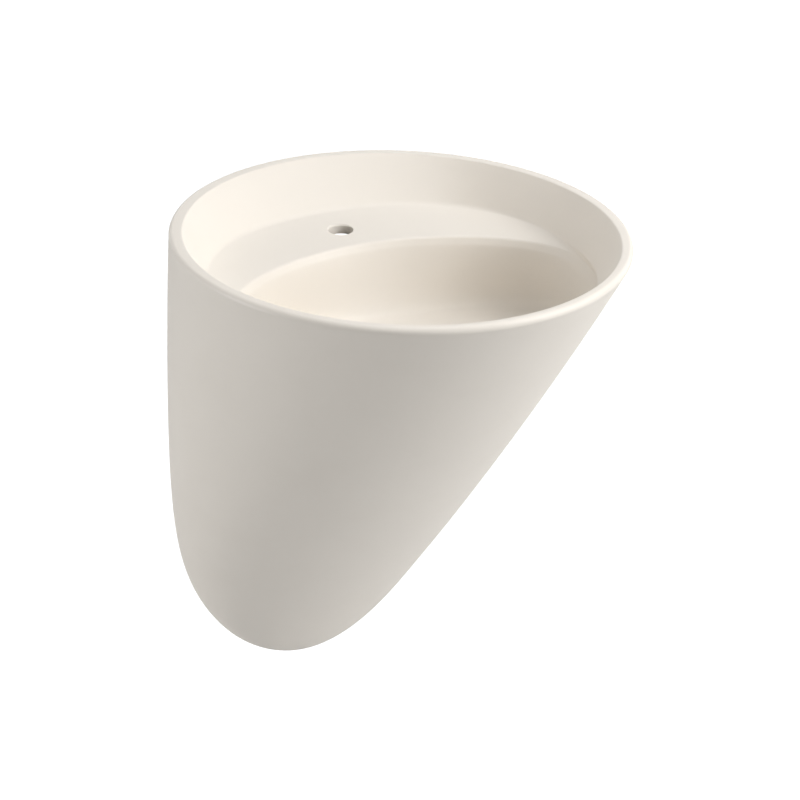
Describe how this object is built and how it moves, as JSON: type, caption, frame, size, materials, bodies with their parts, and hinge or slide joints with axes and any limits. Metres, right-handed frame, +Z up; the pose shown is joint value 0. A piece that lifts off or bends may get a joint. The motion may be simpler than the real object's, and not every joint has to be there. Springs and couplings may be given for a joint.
{
  "type": "wall hung washbasin",
  "caption": "Hung basin with a round rim, sunken crescent tap deck and a hollow body that slants back to the wall, with a push open waste and a bottle trap inside.",
  "frame": {"origin": "middle of the four wall fixing holes, on the wall plane", "axes": "+Y into the wall, -Y to the front, +Z up, +X to the right seen from the front"},
  "size_m": [0.4796, 0.5659, 0.645],
  "materials": {
    "ceramic_body": "satin matt glaze",
    "zinc_steel": "zinc plated",
    "nylon_liner": "moulded",
    "chrome_waste": "polished",
    "chrome_cap": "polished",
    "chrome_rosette": "polished",
    "raw_brass": "turned",
    "spring_steel": "drawn wire",
    "rubber_seals": "moulded",
    "white_plastic": "moulded",
    "pipe_plastic": "extruded",
    "trap_plastic": "moulded"
  },
  "bodies": {
    "basin": {"basin_body": "ceramic_body", "wall_hanger": "zinc_steel", "hanger_liner": "nylon_liner", "waste_body": "chrome_waste", "flange_gasket": "rubber_seals", "ceramic_gasket": "rubber_seals", "slip_washer": "white_plastic", "waste_locknut": "raw_brass", "plunger_guide": "raw_brass", "click_spring": "spring_steel", "inlet_nut": "white_plastic", "inlet_seal": "rubber_seals", "dip_tube": "pipe_plastic", "collar_nut": "white_plastic", "collar_seal": "rubber_seals", "trap_bottle": "trap_plastic", "trap_cup": "trap_plastic", "cup_seal": "rubber_seals", "outlet_nut": "white_plastic", "outlet_seal": "rubber_seals", "outlet_pipe": "pipe_plastic", "wall_rosette": "chrome_rosette"},
    "plug": {"plunger": "raw_brass", "plug_cap": "chrome_cap", "plug_seal": "rubber_seals"}
  },
  "joints": [
    {"name": "plug_slide", "type": "slide", "parent": "basin", "child": "plug", "axis": [0, 0, 1], "range_m": [0, 0.009], "deforming": ["click_spring"]}
  ]
}
